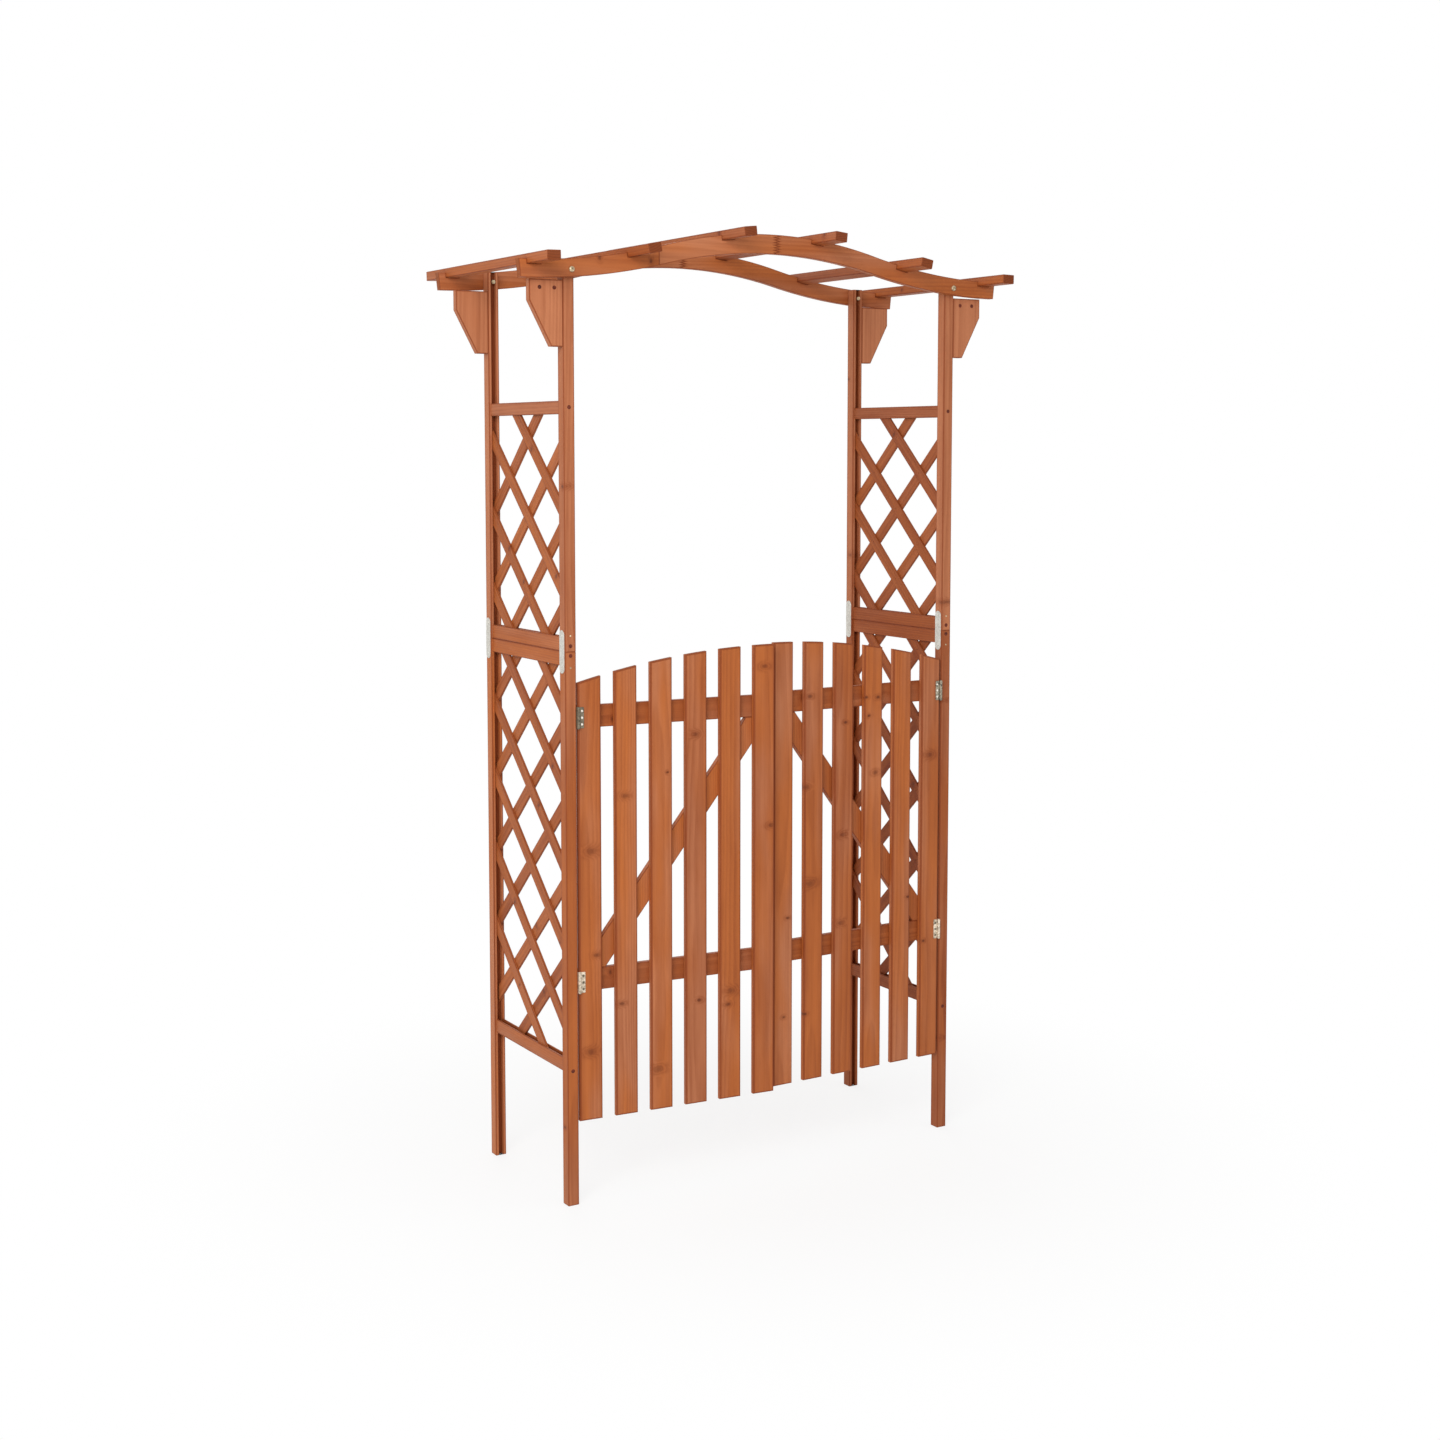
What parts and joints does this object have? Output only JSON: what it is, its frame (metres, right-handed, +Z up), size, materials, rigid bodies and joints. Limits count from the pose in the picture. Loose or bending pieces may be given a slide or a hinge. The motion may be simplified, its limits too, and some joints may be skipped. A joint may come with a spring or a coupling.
{
  "type": "garden arch with gate",
  "caption": "Wooden garden arch with lattice side panels, a curved rafter top and a double picket gate with an arched top edge.",
  "frame": {"origin": "on the ground, under the middle of the arch", "axes": "+Z up, +X to the right seen from the gate's side, +Y through the arch to the back"},
  "size_m": [1.2, 0.6, 2.0464],
  "materials": {
    "stained_wood": "orange-brown stained softwood, planed, satin",
    "lattice_wood": "orange-brown stained softwood strips, satin",
    "galvanised_steel": "zinc plated, dull"
  },
  "bodies": {
    "frame": {"post_front_left_lower": "stained_wood", "post_front_left_upper": "stained_wood", "post_front_right_lower": "stained_wood", "post_front_right_upper": "stained_wood", "post_back_left_lower": "stained_wood", "post_back_left_upper": "stained_wood", "post_back_right_lower": "stained_wood", "post_back_right_upper": "stained_wood", "rail_left_bottom": "stained_wood", "rail_left_lower_mid": "stained_wood", "rail_left_upper_mid": "stained_wood", "rail_left_top": "stained_wood", "rail_right_bottom": "stained_wood", "rail_right_lower_mid": "stained_wood", "rail_right_upper_mid": "stained_wood", "rail_right_top": "stained_wood", "lattice_left_lower": "lattice_wood", "lattice_left_upper": "lattice_wood", "lattice_right_lower": "lattice_wood", "lattice_right_upper": "lattice_wood", "beam_front_left": "stained_wood", "beam_front_right": "stained_wood", "beam_back_left": "stained_wood", "beam_back_right": "stained_wood", "rafter_1": "stained_wood", "rafter_2": "stained_wood", "rafter_3": "stained_wood", "rafter_4": "stained_wood", "rafter_5": "stained_wood", "rafter_6": "stained_wood", "bracket_front_left": "stained_wood", "bracket_front_right": "stained_wood", "bracket_back_left": "stained_wood", "bracket_back_right": "stained_wood", "joint_plate_front_left": "galvanised_steel", "joint_plate_front_right": "galvanised_steel", "joint_plate_back_left": "galvanised_steel", "joint_plate_back_right": "galvanised_steel", "hinge_post_left_upper": "galvanised_steel", "hinge_post_left_lower": "galvanised_steel", "hinge_post_right_upper": "galvanised_steel", "hinge_post_right_lower": "galvanised_steel"},
    "gate_left": {"slat_left_1": "stained_wood", "slat_left_2": "stained_wood", "slat_left_3": "stained_wood", "slat_left_4": "stained_wood", "slat_left_5": "stained_wood", "slat_left_6": "stained_wood", "gate_frame_left": "stained_wood", "hinge_leaf_left_upper": "galvanised_steel", "hinge_leaf_left_lower": "galvanised_steel"},
    "gate_right": {"slat_right_1": "stained_wood", "slat_right_2": "stained_wood", "slat_right_3": "stained_wood", "slat_right_4": "stained_wood", "slat_right_5": "stained_wood", "slat_right_6": "stained_wood", "gate_frame_right": "stained_wood", "hinge_leaf_right_upper": "galvanised_steel", "hinge_leaf_right_lower": "galvanised_steel"}
  },
  "joints": [
    {"name": "gate_left_swing", "type": "hinge", "parent": "frame", "child": "gate_left", "pos_m": [-0.4668, -0.196, 0.7505], "axis": [0, 0, -1], "range_deg": [-4.6, 170.4]},
    {"name": "gate_right_swing", "type": "hinge", "parent": "frame", "child": "gate_right", "pos_m": [0.4668, -0.196, 0.7505], "axis": [0, 0, 1], "range_deg": [-1.5, 173.5]}
  ]
}
